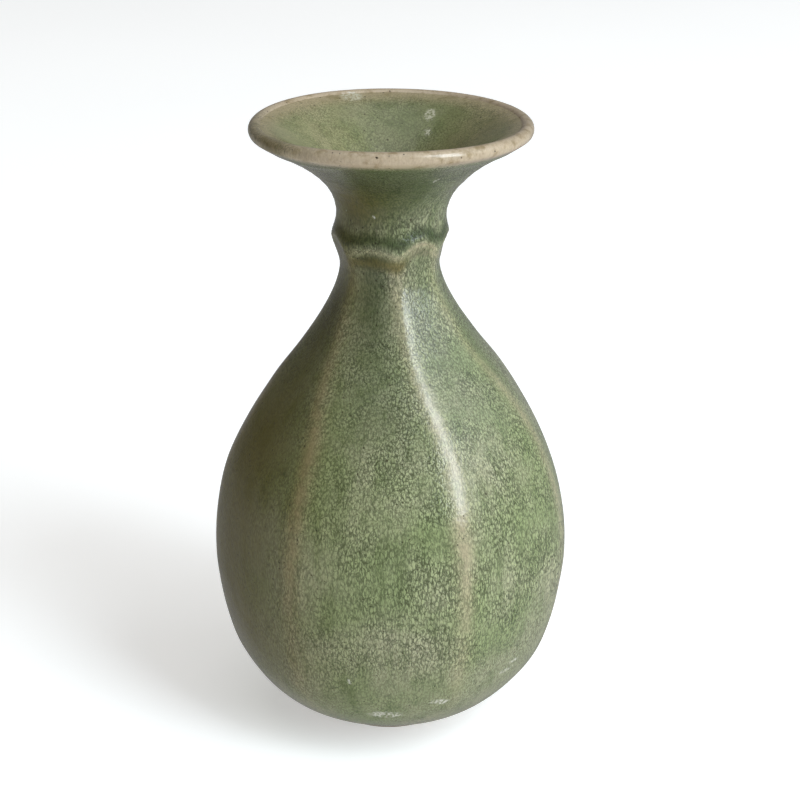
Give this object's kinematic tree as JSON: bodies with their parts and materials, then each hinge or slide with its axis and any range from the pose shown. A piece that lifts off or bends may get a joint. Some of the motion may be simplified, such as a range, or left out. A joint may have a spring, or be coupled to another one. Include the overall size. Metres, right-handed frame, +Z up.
{
  "type": "vase",
  "caption": "Pear-shaped bottle vase with long soft facets, narrow collared neck and flared trumpet mouth, in crackled green celadon glaze; holds a small spray of flowers.",
  "frame": {"origin": "on the standing surface, under the middle of the foot ring", "axes": "+Z up along the axis that the vase was thrown on; the front that the picture shows faces -Y, with +X to its right"},
  "size_m": [0.0849, 0.0852, 0.15],
  "materials": {
    "clay": "fired stoneware under the glaze, matt",
    "foot_clay": "bare fired stoneware, gritty and matt",
    "slip": "fired slip in the luted seams, matt",
    "celadon_glaze": "green celadon glaze with a fine dark crackle, glossy",
    "inner_celadon_glaze": "green celadon glaze inside, smoother and satin",
    "thin_glaze": "thin beige glaze over the lip, satin, with dark specks"
  },
  "bodies": {
    "root": {"foot_ring": "foot_clay", "foot_slip_joint": "slip", "lower_body": "clay", "belly_slip_joint": "slip", "upper_body": "clay", "shoulder_slip_joint": "slip", "neck": "clay", "mouth_slip_joint": "slip", "mouth": "clay", "outer_glaze": "celadon_glaze", "lip_glaze": "thin_glaze", "inner_glaze": "inner_celadon_glaze", "base_glaze": "celadon_glaze"}
  },
  "joints": []
}
